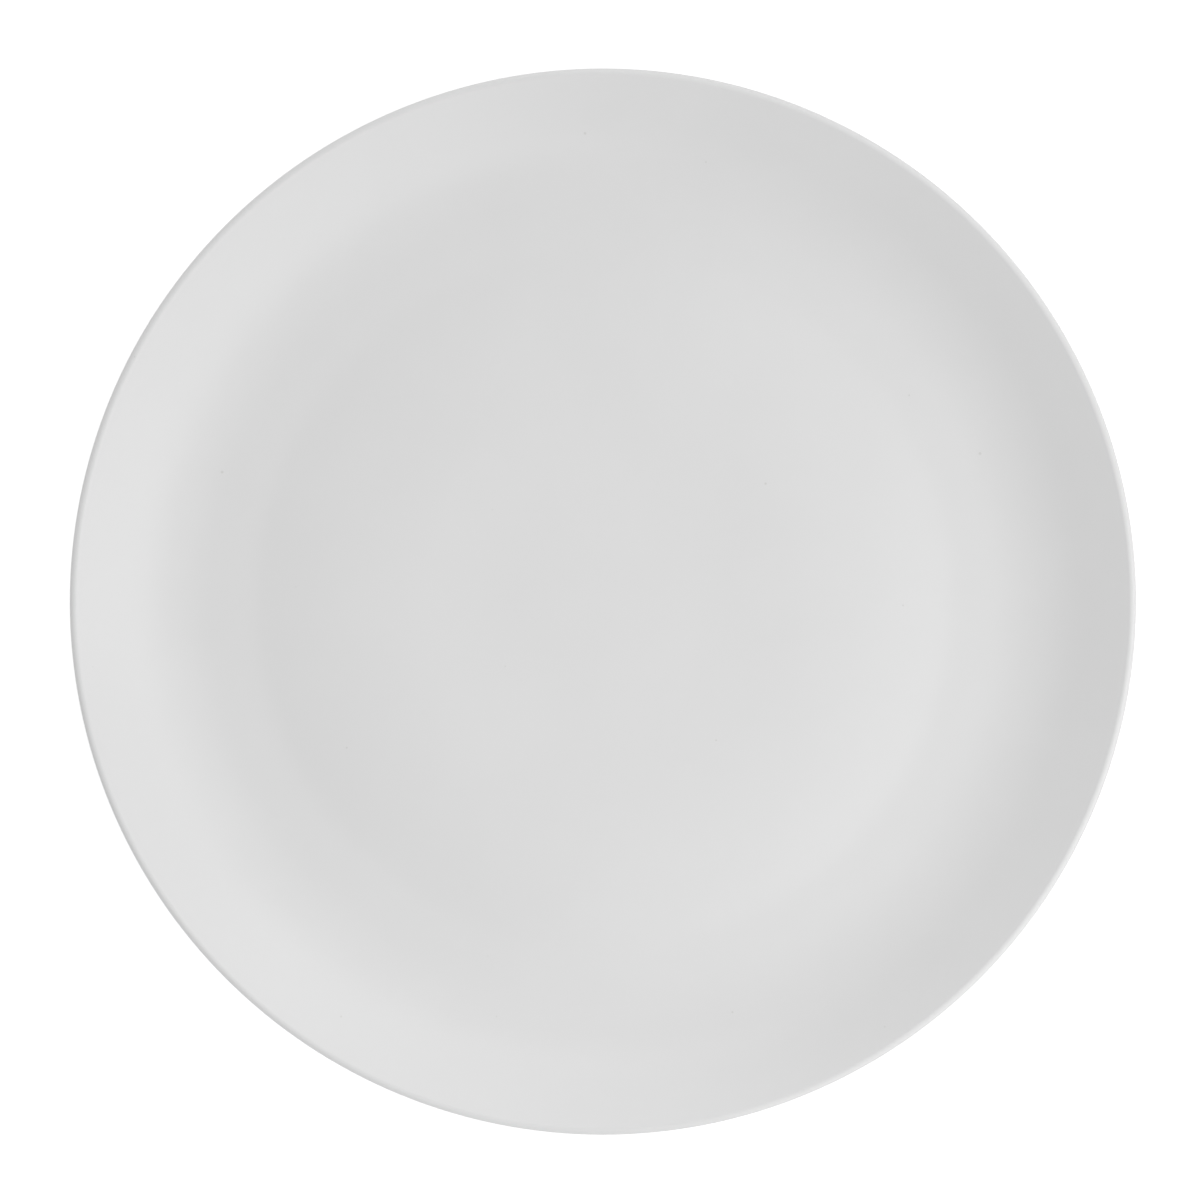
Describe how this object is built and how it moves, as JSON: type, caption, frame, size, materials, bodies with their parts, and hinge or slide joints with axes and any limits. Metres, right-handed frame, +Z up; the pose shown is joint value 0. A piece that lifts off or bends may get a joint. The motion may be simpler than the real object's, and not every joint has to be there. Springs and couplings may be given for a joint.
{
  "type": "bread and butter plate",
  "caption": "Small round rimless plate of white satin-glazed stoneware, with a gently crowned well, a flared wall, a rounded lip and a bare foot ring.",
  "frame": {"origin": "on the plate's axis, in the plane of the foot ring's bearing face", "axes": "+Z up along the plate's axis of symmetry, out of the eating face; +X and +Y lie in the bearing plane and are interchangeable"},
  "size_m": [0.165, 0.165, 0.0158],
  "materials": {
    "clay": "matte",
    "glaze": "satin"
  },
  "bodies": {
    "root": {"plate_body": "clay", "face_glaze": "glaze", "base_glaze": "glaze"}
  },
  "joints": []
}
